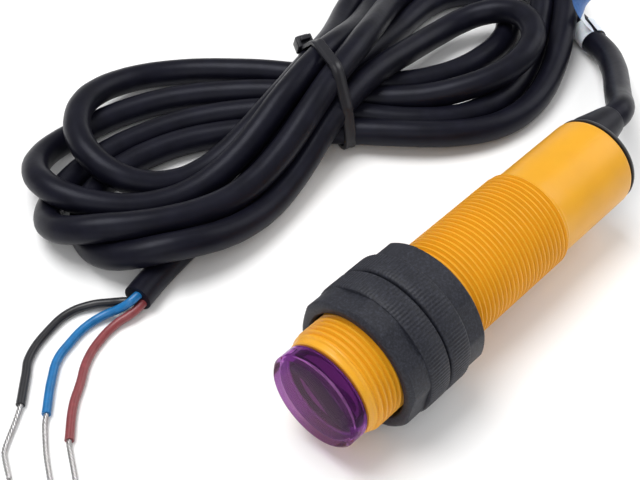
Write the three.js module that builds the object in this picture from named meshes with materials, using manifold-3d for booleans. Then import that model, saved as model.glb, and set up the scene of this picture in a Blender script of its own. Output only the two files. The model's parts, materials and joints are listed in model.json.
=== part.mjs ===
// M18 diffuse photoelectric proximity switch with its tied hank of cable.
// Millimetres, +Z up. The sensing axis lies along Y and the lens faces -Y. The switch
// lies on the round flanges of its two nuts, so the surface it rests on is z = 0.
import * as THREE from 'three';
import { mergeVertices } from 'three/addons/utils/BufferGeometryUtils.js';
import Module from 'manifold-3d';

const wasm = await Module();
wasm.setup();

// ---- driving dimensions --------------------------------------------------------------
const GAP = 0.3;                  // clearance between touching pieces
const SEGMENTS = 48;              // sides of the round pieces
const REAR_Y = 30.53;             // rear edge of the barrel, from the middle of the switch
const AXIS_Z = 11.85;             // sensing axis above the surface

const THREAD_R = 9.0;             // M18 major radius
const PLAIN_R = 8.35;             // smooth rear stretch of the barrel, and the lens rim
const BORE_R = 7.3;               // inside of the barrel
const PLUG_R = BORE_R - GAP;      // lens skirt and cap plug that go into the bore
const BARREL_FRONT = -66.5;       // y, from the barrel's rear edge
const THREAD_FRONT = -64.7;
const THREAD_END = -18.8;
const EDGE_ROUND = 0.8;

const LENS_FRONT = -70.06;
const LENS_SKIRT_END = -62.0;
const LENS_CAVITY_R = 6.2;
const LENS_WINDOW = 1.4;          // thickness of the front window

const NUT_FLATS = 22.0;           // across flats
const NUT_CORNER_R = 11.5;        // rounded corners
const NUT_FLANGE_R = 11.85;
const NUT_FLANGE = 4.4;           // thickness of the round flange
const NUT_HEX = 4.0;              // height of the hexagon
const NUT_CHAMFER = 0.8;
const NUT_BORE_R = THREAD_R + GAP;
const NUT_SEAM = -52.1;           // plane where the two flanges face each other
const FRONT_NUT_TURN = 51;        // degrees, direction of one flat
const REAR_NUT_TURN = 30;

const EXIT_X = -2.6;              // cable exit, off the axis
const EXIT_Z = 2.6;
const GLAND_END = 9.0;
const CAP_RIM = 0.8;
const CAP_PLUG = 4.2;

const BOARD_WIDTH = 12.6;
const BOARD_THICKNESS = 1.2;
const BOARD_Z = -1.6;             // top face of the board, from the axis
const BOARD_FRONT = -57.0;
const BOARD_REAR = -12.8;

const TRIMMER_X = 3.3;            // sensitivity trimmer, in the cap's free half
const TRIMMER_Z = -2.9;
const LED_X = -1.6;
const LED_Z = -4.4;

const CABLE_R = 2.5;
const WIRE_R = 0.75;
const TIP_R = 0.42;
const CORE_R = 0.6;               // conductors inside the barrel
const HANK_HEIGHT = 11.5;
const HUMP_HEIGHT = 15.9;         // where the strands pile up in the tie
const HUMP_HALF = 20;

const TIE_CENTRE = [-50.7, 17.2]; // middle of the tie on the surface
const TIE_ACROSS = [0.92, -0.392]; // unit vector across the bundle, towards the switch
const TIE_THICK = 1.0;
const TIE_WIDTH = 2.5;
const TIE_HEAD = [-10.7, 10.7];   // middle of the locking head, as [across, height]
const TIE_HEAD_TURN = (25 * Math.PI) / 180;

// ---- colours -------------------------------------------------------------------------
const material = (color, roughness, metalness = 0) =>
  new THREE.MeshStandardMaterial({ color, roughness, metalness });
const ORANGE = material(0xf0a81e, 0.4);
const VIOLET = material(0x50305c, 0.15);
const BLACK = material(0x26272b, 0.55);
const NUT_BLACK = material(0x33363b, 0.6);
const JACKET = material(0x202127, 0.5);
const BLUE = material(0x1f7fc8, 0.45);
const BROWN = material(0x8c3c3c, 0.45);
const TIN = material(0xc4c6c8, 0.3, 1);
const BOARD_GREEN = material(0x1e5c38, 0.5);
const LABEL = material(0xdfe6ee, 0.5);
const BRASS = material(0xc9a45a, 0.35, 1);
const RED = material(0xb03030, 0.3);

// ---- geometry helpers ----------------------------------------------------------------
// Returns a welded copy with its faces pointing out.
function weld(geometry) {
  const plain = new THREE.BufferGeometry();
  plain.setAttribute('position', geometry.getAttribute('position').clone());
  if (geometry.index) plain.setIndex(geometry.index.clone());
  const welded = mergeVertices(plain, 1e-4);
  const position = welded.getAttribute('position');
  const index = welded.index.array;
  const corner = new THREE.Vector3();
  const second = new THREE.Vector3();
  const third = new THREE.Vector3();
  let volume = 0;
  for (let i = 0; i < index.length; i += 3) {
    corner.fromBufferAttribute(position, index[i]);
    second.fromBufferAttribute(position, index[i + 1]);
    third.fromBufferAttribute(position, index[i + 2]);
    volume += corner.dot(second.cross(third));
  }
  if (volume < 0) {
    for (let i = 0; i < index.length; i += 3) {
      [index[i + 1], index[i + 2]] = [index[i + 2], index[i + 1]];
    }
  }
  return welded;
}

function toManifold(geometry) {
  const welded = weld(geometry);
  return new wasm.Manifold(new wasm.Mesh({
    numProp: 3,
    vertProperties: new Float32Array(welded.getAttribute('position').array),
    triVerts: new Uint32Array(welded.index.array),
  }));
}

function fromManifold(manifold) {
  const mesh = manifold.getMesh();
  const geometry = new THREE.BufferGeometry();
  geometry.setAttribute('position', new THREE.BufferAttribute(mesh.vertProperties, 3));
  geometry.setIndex(new THREE.BufferAttribute(mesh.triVerts, 1));
  return geometry;
}

// Solid of revolution about Y from [radius, y] pairs. Pairs that don't start and end on
// the axis are closed on themselves and leave a bore.
function turned(pairs, segments = SEGMENTS) {
  const points = pairs.map(([radius, y]) => new THREE.Vector2(radius, y));
  const open = pairs[0][0] > 0;
  if (open) points.push(points[0].clone());
  return new THREE.LatheGeometry(points, segments);
}

function disc(radius, y0, y1, segments = SEGMENTS) {
  return turned([[0, y0], [radius, y0], [radius, y1], [0, y1]], segments);
}

function moved(geometry, x, y, z) {
  geometry.translate(x, y, z);
  return geometry;
}

function box(x0, x1, y0, y1, z0, z1) {
  const geometry = new THREE.BoxGeometry(x1 - x0, y1 - y0, z1 - z0);
  return moved(geometry, (x0 + x1) / 2, (y0 + y1) / 2, (z0 + z1) / 2);
}

// Plate whose outline is given in x and z, from y0 to y1.
function plateAlongY(outline, y0, y1) {
  const shape = new THREE.Shape(outline.map(([x, z]) => new THREE.Vector2(x, -z)));
  const geometry = new THREE.ExtrudeGeometry(shape, { depth: y1 - y0, bevelEnabled: false });
  geometry.rotateX(-Math.PI / 2);
  return moved(geometry, 0, y0, 0);
}

function circleSection(radius, sides) {
  const points = [];
  for (let i = 0; i < sides; i += 1) {
    const angle = (i / sides) * 2 * Math.PI;
    points.push(new THREE.Vector2(radius * Math.cos(angle), radius * Math.sin(angle)));
  }
  return new THREE.Shape(points);
}

// Round bar along a smooth curve through the points.
function rod(points, radius, steps, sides) {
  const curve = new THREE.CatmullRomCurve3(points.map((p) => new THREE.Vector3(...p)));
  return new THREE.ExtrudeGeometry(circleSection(radius, sides), {
    steps,
    bevelEnabled: false,
    extrudePath: curve,
  });
}

const subtract = (first, ...others) => others.reduce(
  (result, other) => result.subtract(toManifold(other)),
  toManifold(first),
);

// ---- the switch, drawn with the barrel's rear edge at y = 0 on the axis ----------------
const part = new THREE.Group();
const device = new THREE.Group();
const cable = new THREE.Group();
device.position.set(0, REAR_Y, AXIS_Z);
part.add(device, cable);

function add(group, name, geometry, look) {
  const mesh = new THREE.Mesh(weld(geometry), look);
  mesh.name = name;
  group.add(mesh);
}

function barrel() {
  return turned([
    [BORE_R, BARREL_FRONT],
    [PLAIN_R, BARREL_FRONT],
    [THREAD_R, THREAD_FRONT],
    [THREAD_R, THREAD_END],
    [PLAIN_R, THREAD_END + 0.6],
    [PLAIN_R, -EDGE_ROUND],
    [PLAIN_R - 0.24, -EDGE_ROUND * 0.3],
    [PLAIN_R - EDGE_ROUND, 0],
    [BORE_R, 0],
  ]);
}

function lensCap() {
  return turned([
    [0, LENS_FRONT],
    [PLAIN_R - 0.4, LENS_FRONT],
    [PLAIN_R - 0.1, LENS_FRONT + 0.4],
    [PLAIN_R - 0.1, BARREL_FRONT - GAP],
    [PLUG_R, BARREL_FRONT - GAP],
    [PLUG_R, LENS_SKIRT_END],
    [LENS_CAVITY_R, LENS_SKIRT_END],
    [LENS_CAVITY_R, LENS_FRONT + LENS_WINDOW],
    [0, LENS_FRONT + LENS_WINDOW],
  ]);
}

// One nut from its clamp face at y = 0 to its chamfered hexagon end, towards `side`.
function nut(side, turn) {
  const total = NUT_FLANGE + NUT_HEX;
  const round = turned([
    [0, 0],
    [NUT_FLANGE_R - 0.25, 0],
    [NUT_FLANGE_R, 0.25],
    [NUT_FLANGE_R, NUT_FLANGE],
    [NUT_CORNER_R, NUT_FLANGE],
    [NUT_CORNER_R, total - NUT_CHAMFER * 0.6],
    [NUT_CORNER_R - NUT_CHAMFER, total],
    [0, total],
  ]);
  const hexagon = disc(NUT_FLATS / Math.sqrt(3), NUT_FLANGE, total + 1, 6);
  const flange = disc(NUT_FLANGE_R + 1, -1, NUT_FLANGE);
  const envelope = toManifold(hexagon).add(toManifold(flange));
  const hole = turned([
    [0, -1],
    [NUT_BORE_R, -1],
    [NUT_BORE_R, total - 0.5],
    [NUT_BORE_R + 0.7, total + 0.2],
    [0, total + 0.2],
  ]);
  const solid = toManifold(round).intersect(envelope).subtract(toManifold(hole));
  const geometry = fromManifold(solid);
  if (side < 0) geometry.rotateZ(Math.PI);
  geometry.rotateY((-turn * Math.PI) / 180);
  return moved(geometry, 0, NUT_SEAM + side * GAP / 2, 0);
}

// Wall that parts the two optical cells, a slanted Z seen from the front.
function divider() {
  const half = 0.35;
  return plateAlongY([
    [-5.5, 1.9],
    [-2.9, 2.1],
    [3.5 - half, -2.1 - half],
    [5.4, -2.1 - half],
    [5.4, -2.1 + half],
    [3.5 + half, -2.1 + half],
    [-2.9 + half, 2.1 + 2 * half],
    [-5.4, 1.9 + 2 * half],
  ], LENS_FRONT + LENS_WINDOW + GAP, -66.6);
}

function opticHolder() {
  const outer = disc(5.9, -66.3, -60.4);
  const pockets = [-2.9, 2.9].map((x) => moved(disc(2.45, -67, -59, 24), x, 0, 0));
  return fromManifold(subtract(outer, ...pockets));
}

// Round-nosed emitter or receiver in its pocket, with the nose towards the lens.
function optoPackage(x) {
  return moved(turned([
    [0, -66.0],
    [1.2, -65.7],
    [1.9, -64.9],
    [2.1, -64.0],
    [2.1, -60.2],
    [0, -60.2],
  ], 20), x, 0, 0);
}

function board() {
  const half = BOARD_WIDTH / 2;
  return box(-half, half, BOARD_FRONT, BOARD_REAR, BOARD_Z - BOARD_THICKNESS, BOARD_Z);
}

function onBoard(x0, x1, y0, y1, height) {
  const base = BOARD_Z + GAP;
  return box(x0, x1, y0, y1, base, base + height);
}

function rearCap() {
  const outer = turned([
    [0, -CAP_PLUG],
    [PLUG_R - 0.3, -CAP_PLUG],
    [PLUG_R, -CAP_PLUG + 0.4],
    [PLUG_R, GAP],
    [PLAIN_R - 0.15, GAP],
    [PLAIN_R - 0.15, GAP + CAP_RIM * 0.5],
    [PLAIN_R - 0.55, GAP + CAP_RIM],
    [0, GAP + CAP_RIM],
  ]);
  const holes = [
    moved(disc(2.9, -6, 3, 32), EXIT_X, 0, EXIT_Z),
    moved(disc(1.9, -6, 3, 24), TRIMMER_X, 0, TRIMMER_Z),
    moved(disc(1.8, -6, 3, 24), LED_X, 0, LED_Z),
  ];
  return fromManifold(subtract(outer, ...holes));
}

// Tapered strain relief. Its shoulder lies on the cap and its stem fills the cap's hole.
function gland() {
  const shoulder = 2 * GAP + CAP_RIM;
  return moved(turned([
    [0, -CAP_PLUG],
    [2.6, -CAP_PLUG],
    [2.6, shoulder],
    [4.2, shoulder],
    [4.0, shoulder + 1.2],
    [3.5, 5.0],
    [2.9, GLAND_END - 0.4],
    [2.6, GLAND_END],
    [0, GLAND_END],
  ], 32), EXIT_X, 0, EXIT_Z);
}

function trimmerBody() {
  const body = box(TRIMMER_X - 2.2, TRIMMER_X + 2.2, -12.4, -5.2,
    TRIMMER_Z - 0.9, TRIMMER_Z + 2.6);
  return body;
}

function trimmerScrew() {
  const screw = disc(1.5, -4.9, 0.6, 24);
  const slot = box(-2, 2, -0.2, 2, -0.25, 0.25);
  return moved(fromManifold(subtract(screw, slot)), TRIMMER_X, 0, TRIMMER_Z);
}

function indicator() {
  return moved(turned([
    [0, -5.0],
    [1.5, -5.0],
    [1.5, 0.7],
    [1.2, 1.3],
    [0.6, 1.7],
    [0, 1.8],
  ], 20), LED_X, 0, LED_Z);
}

// Conductor from the inner end of the strain relief down to its pad on the board.
function core(offset, height) {
  const start = [EXIT_X + offset, -CAP_PLUG - GAP, EXIT_Z + height];
  const middle = [EXIT_X + offset, -7.0, EXIT_Z + height];
  const low = [EXIT_X + offset * 1.3, -12.6, BOARD_Z + 1.4];
  const end = [EXIT_X + offset * 1.3, -17.0, BOARD_Z + CORE_R + GAP];
  return rod([start, middle, low, end], CORE_R, 8, 8);
}

function buildDevice() {
  add(device, 'barrel', barrel(), ORANGE);
  add(device, 'lens_cap', lensCap(), VIOLET);
  add(device, 'optic_divider', divider(), BLACK);
  add(device, 'optic_holder', opticHolder(), BLACK);
  add(device, 'emitter_led', optoPackage(-2.9), VIOLET);
  add(device, 'receiver_diode', optoPackage(2.9), BLACK);
  add(device, 'main_board', board(), BOARD_GREEN);
  add(device, 'controller_chip', onBoard(-2.0, 2.0, -50.0, -45.0, 1.6), BLACK);
  add(device, 'regulator_chip', onBoard(-1.6, 1.6, -38.5, -35.5, 1.2), BLACK);
  add(device, 'smoothing_capacitor', moved(disc(2.0, -32.5, -26.5, 24), -2.4, 0, 0.8), BLACK);
  add(device, 'output_transistor', onBoard(1.2, 4.2, -31.0, -28.0, 1.1), BLACK);
  add(device, 'trimmer_body', trimmerBody(), BLUE);
  add(device, 'trimmer_screw', trimmerScrew(), BRASS);
  add(device, 'indicator_led', indicator(), RED);
  add(device, 'rear_cap', rearCap(), BLACK);
  add(device, 'cable_gland', gland(), BLACK);
  add(device, 'core_black', core(-1.4, -0.6), JACKET);
  add(device, 'core_blue', core(0, 0.9), BLUE);
  add(device, 'core_brown', core(1.4, -0.6), BROWN);
  add(device, 'nut_front', nut(-1, FRONT_NUT_TURN), NUT_BLACK);
  add(device, 'nut_rear', nut(1, REAR_NUT_TURN), NUT_BLACK);
}

// ---- the cable, drawn on the surface that the switch lies on ---------------------------
// From the strain relief, drooping to the surface and round to the hank.
const LEAD_ROUTE = [
  [-2.6, 39.95, 14.45],
  [-2.62, 41.3, 14.43],
  [-3.2, 43.3, 13.95],
  [-4.5, 45.6, 12.8],
  [-6.4, 48.3, 11.3],
  [-8.9, 52.0, 9.7],
  [-11.7, 56.2, 8.0],
  [-15.1, 60.8, 6.2],
  [-20.0, 65.9, 4.1],
  [-23.4, 68.0, 3.15],
  [-26.9, 69.8, 3.0],
];
// The free end, out from under the hank to where the jacket stops.
const TAIL_ROUTE = [
  [-41.6, -34.8, 2.55],
  [-41.2, -36.2, 2.55],
  [-40.75, -37.8, 2.55],
  [-40.3, -39.2, 2.55],
];
const BLACK_WIRE = [
  [-41.05, -40.1, 1.95],
  [-41.9, -41.0, 1.95],
  [-43.6, -42.4, 1.5],
  [-45.9, -44.7, 1.0],
  [-47.4, -48.3, 0.78],
  [-47.0, -52.6, 0.76],
  [-44.7, -58.7, 0.76],
  [-42.4, -61.1, 0.76],
  [-38.3, -65.3, 0.76],
];
const BLUE_WIRE = [
  [-40.1, -39.8, 3.45],
  [-40.2, -41.0, 3.1],
  [-41.2, -42.6, 2.0],
  [-42.6, -44.8, 1.1],
  [-43.1, -48.3, 0.78],
  [-42.3, -52.4, 0.76],
  [-41.2, -55.6, 0.76],
  [-38.9, -58.6, 0.76],
  [-34.0, -63.6, 0.76],
];
const BROWN_WIRE = [
  [-39.15, -39.5, 1.95],
  [-39.2, -41.5, 1.6],
  [-39.8, -44.4, 1.0],
  [-39.2, -48.6, 0.76],
  [-37.5, -52.6, 0.76],
  [-34.7, -56.3, 0.76],
  [-32.3, -59.6, 0.76],
  [-27.6, -64.2, 0.76],
];
const BLACK_TIP = [
  [-38.0, -65.6, 0.76],
  [-36.3, -68.0, 0.5],
  [-33.7, -71.8, 0.44],
  [-32.1, -73.0, 0.44],
  [-28.9, -74.8, 0.44],
];
const BLUE_TIP = [
  [-33.7, -63.9, 0.76],
  [-32.4, -65.2, 0.6],
  [-28.4, -68.1, 0.44],
  [-24.4, -70.5, 0.44],
  [-23.0, -71.5, 0.44],
];
const BROWN_TIP = [
  [-27.3, -64.5, 0.76],
  [-26.1, -65.3, 0.55],
  [-21.7, -67.9, 0.44],
  [-19.6, -69.5, 0.44],
];
// Outside of the tied hank, seen from above, anticlockwise from the tie's far side.
const HANK_OUTLINE = [
  [-63.5, 22.3], [-70.4, 16.2], [-77.4, 10.1], [-82.6, 3.3], [-85.6, -5.5],
  [-84.8, -15.1], [-82.2, -23.4], [-79.5, -31.2], [-73.9, -37.4], [-67.2, -40.9],
  [-62.9, -42.6], [-58.9, -42.8], [-54.5, -42.0], [-48.0, -40.2], [-42.9, -34.2],
  [-37.8, -29.0], [-36.6, -25.6], [-35.2, -15.0], [-37.2, -2.1], [-39.3, 8.5],
  [-37.8, 12.9], [-32.2, 18.1], [-26.0, 24.7], [-21.0, 33.1], [-19.3, 43.7],
  [-20.5, 50.4], [-23.2, 57.4], [-26.9, 64.1], [-31.4, 71.4], [-36.9, 78.9],
  [-43.8, 84.6], [-51.0, 87.3], [-58.7, 87.0], [-67.2, 82.3], [-73.1, 73.8],
  [-75.7, 62.6], [-74.7, 52.1], [-71.5, 43.3], [-67.2, 34.9], [-64.1, 28.3],
];
// Section of the bundle inside the tie, as [across, height], anticlockwise.
const WAIST = [
  [-10.9, 1.3], [11.7, 1.3], [11.7, 4.2], [10.6, 9.5], [7.2, 14.3],
  [5.4, 15.5], [-3.0, 15.3], [-4.8, 13.9], [-8.6, 9.9], [-10.9, 4.2],
];

// Turns a solid drawn with X across the bundle and Y along it into its place.
function atTie(geometry) {
  const angle = Math.atan2(TIE_ACROSS[1], TIE_ACROSS[0]);
  geometry.rotateZ(angle);
  return moved(geometry, TIE_CENTRE[0], TIE_CENTRE[1], 0);
}

// Convex outline with every side moved outwards by a distance.
function grown(points, distance) {
  const count = points.length;
  const side = (i) => {
    const [x, y] = points[i];
    const [u, v] = points[(i + 1) % count];
    const length = Math.hypot(u - x, v - y);
    const normal = [(v - y) / length, (x - u) / length];
    return [...normal, normal[0] * x + normal[1] * y + distance];
  };
  return points.map((_, i) => {
    const [a, b, c] = side((i + count - 1) % count);
    const [d, e, f] = side(i);
    const det = a * e - b * d;
    return [(c * e - b * f) / det, (a * f - c * d) / det];
  });
}

function prism(points, depth) {
  const shape = new THREE.Shape(points.map(([x, y]) => new THREE.Vector2(x, y)));
  return new THREE.ExtrudeGeometry(shape, { depth, bevelEnabled: false });
}

// Prism of an outline in [across, height], centred along the bundle.
function slice(points, width) {
  const geometry = prism(points, width);
  geometry.translate(0, 0, -width / 2);
  geometry.rotateX(Math.PI / 2);
  return geometry;
}

// The coil's lobes, with the hump where every strand passes through the tie.
function hank() {
  const lobes = toManifold(prism(HANK_OUTLINE, HANK_HEIGHT));
  const middle = toManifold(atTie(box(-20, 20, -HUMP_HALF, HUMP_HALF, 0, HUMP_HEIGHT)));
  const hump = toManifold(prism(HANK_OUTLINE, HUMP_HEIGHT)).intersect(middle);
  const groove = toManifold(atTie(box(-20, 20, -2.6, 2.6, -1, 20)));
  const waist = toManifold(atTie(slice(WAIST, 8)));
  return fromManifold(lobes.add(hump).subtract(groove.subtract(waist)));
}

// Cable tie round the waist, with its locking head on the far upper side.
function tie() {
  const strap = toManifold(slice(grown(WAIST, GAP + TIE_THICK), TIE_WIDTH));
  const inside = toManifold(slice(grown(WAIST, GAP), TIE_WIDTH + 2));
  const half = TIE_WIDTH / 2;
  const head = toManifold(box(-1.9, 1.9, -2.1, 2.1, -2.2, 2.2));
  const stub = toManifold(box(-0.6, 0.5, -half, half, -3.6, -2));
  const lock = fromManifold(head.add(stub));
  lock.rotateY(Math.PI + TIE_HEAD_TURN);
  const placed = toManifold(moved(lock, TIE_HEAD[0], 0, TIE_HEAD[1]));
  return atTie(fromManifold(strap.subtract(inside).add(placed)));
}

// Folded paper flag round the lead: a sleeve with the flag standing up from it.
function label() {
  const inner = CABLE_R + GAP;
  const outer = inner + 0.22;
  const halfFlag = 0.25;
  const top = 15.5;
  const outline = [];
  const start = Math.asin(halfFlag / outer);
  const sides = 20;
  for (let i = 0; i <= sides; i += 1) {
    const angle = start + (i / sides) * (2 * Math.PI - 2 * start);
    outline.push(new THREE.Vector2(outer * Math.sin(angle), outer * Math.cos(angle)));
  }
  outline.push(new THREE.Vector2(-halfFlag, top), new THREE.Vector2(halfFlag, top));
  const shape = new THREE.Shape(outline);
  shape.holes.push(new THREE.Path(circleSection(inner, 16).getPoints()));
  const geometry = new THREE.ExtrudeGeometry(shape, { depth: 3.2, bevelEnabled: false });
  geometry.rotateX(Math.PI / 2);
  geometry.rotateZ((-117.4 * Math.PI) / 180);
  return moved(geometry, -24.5, 68.52, 3.1);
}

function buildCable() {
  add(cable, 'cable_lead', rod(LEAD_ROUTE, CABLE_R, 22, 10), JACKET);
  add(cable, 'cable_hank', hank(), JACKET);
  add(cable, 'cable_tail', rod(TAIL_ROUTE, CABLE_R, 4, 10), JACKET);
  add(cable, 'cable_tie', tie(), BLACK);
  add(cable, 'cable_label', label(), LABEL);
  add(cable, 'wire_black', rod(BLACK_WIRE, WIRE_R, 18, 8), JACKET);
  add(cable, 'wire_blue', rod(BLUE_WIRE, WIRE_R, 18, 8), BLUE);
  add(cable, 'wire_brown', rod(BROWN_WIRE, WIRE_R, 18, 8), BROWN);
  add(cable, 'tip_black', rod(BLACK_TIP, TIP_R, 10, 8), TIN);
  add(cable, 'tip_blue', rod(BLUE_TIP, TIP_R, 10, 8), TIN);
  add(cable, 'tip_brown', rod(BROWN_TIP, TIP_R, 8, 8), TIN);
}

buildDevice();
buildCable();

export default part;
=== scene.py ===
import json
import math

import bmesh
import bpy
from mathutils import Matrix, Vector


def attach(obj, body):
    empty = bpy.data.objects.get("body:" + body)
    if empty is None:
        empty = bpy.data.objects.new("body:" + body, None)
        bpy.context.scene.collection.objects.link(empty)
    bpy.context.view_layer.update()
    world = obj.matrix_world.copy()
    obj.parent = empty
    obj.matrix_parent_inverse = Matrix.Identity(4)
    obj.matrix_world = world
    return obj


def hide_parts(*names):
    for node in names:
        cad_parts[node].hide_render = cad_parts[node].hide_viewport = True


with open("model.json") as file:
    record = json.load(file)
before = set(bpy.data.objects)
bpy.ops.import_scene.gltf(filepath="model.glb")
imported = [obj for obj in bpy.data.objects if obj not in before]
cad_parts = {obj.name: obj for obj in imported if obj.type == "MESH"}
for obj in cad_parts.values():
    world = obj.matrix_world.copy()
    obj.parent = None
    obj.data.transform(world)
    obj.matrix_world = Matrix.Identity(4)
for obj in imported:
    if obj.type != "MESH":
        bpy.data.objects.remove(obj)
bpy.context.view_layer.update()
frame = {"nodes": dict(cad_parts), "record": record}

MM = 0.001
REAR_Y = 30.53  # rear edge of the barrel from the middle of the switch, mm
AXIS_Z = 11.85  # sensing axis above the surface, mm
CABLE_R = 2.5  # mm
WIRE_R = 0.75  # mm

# ---- camera ----------------------------------------------------------------------------------
FOCAL_LENGTH = 71.04  # mm
SENSOR_WIDTH = 36.0  # mm
CLIP_NEAR = 0.005  # m
CLIP_FAR = 10.0  # m
CAMERA_PLACE = (0.074876, -0.116499, 0.163139)  # m
CAMERA_DIP = 47.23  # degrees below the horizontal
CAMERA_TURN = 43.52  # degrees round from a view along +Y

camera_data = bpy.data.cameras.new("camera")
camera_data.lens = FOCAL_LENGTH
camera_data.sensor_width = SENSOR_WIDTH
camera_data.clip_start = CLIP_NEAR
camera_data.clip_end = CLIP_FAR
camera = bpy.data.objects.new("camera", camera_data)
camera.location = CAMERA_PLACE
camera.rotation_euler = (math.radians(90.0 - CAMERA_DIP), 0.0, math.radians(CAMERA_TURN))
bpy.context.scene.collection.objects.link(camera)
bpy.context.scene.camera = camera

# ---- routes, mm in the shared frame ----------------------------------------------------------
# Lead from the strain relief down to the surface.
LEAD = [
    (-2.6, 37.5, 14.45),
    (-2.6, 39.95, 14.45),
    (-2.62, 41.3, 14.43),
    (-3.2, 43.3, 13.95),
    (-4.5, 45.6, 12.8),
    (-6.4, 48.3, 11.3),
    (-8.9, 52.0, 9.7),
    (-11.7, 56.2, 8.0),
    (-15.1, 60.8, 6.2),
]
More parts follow.
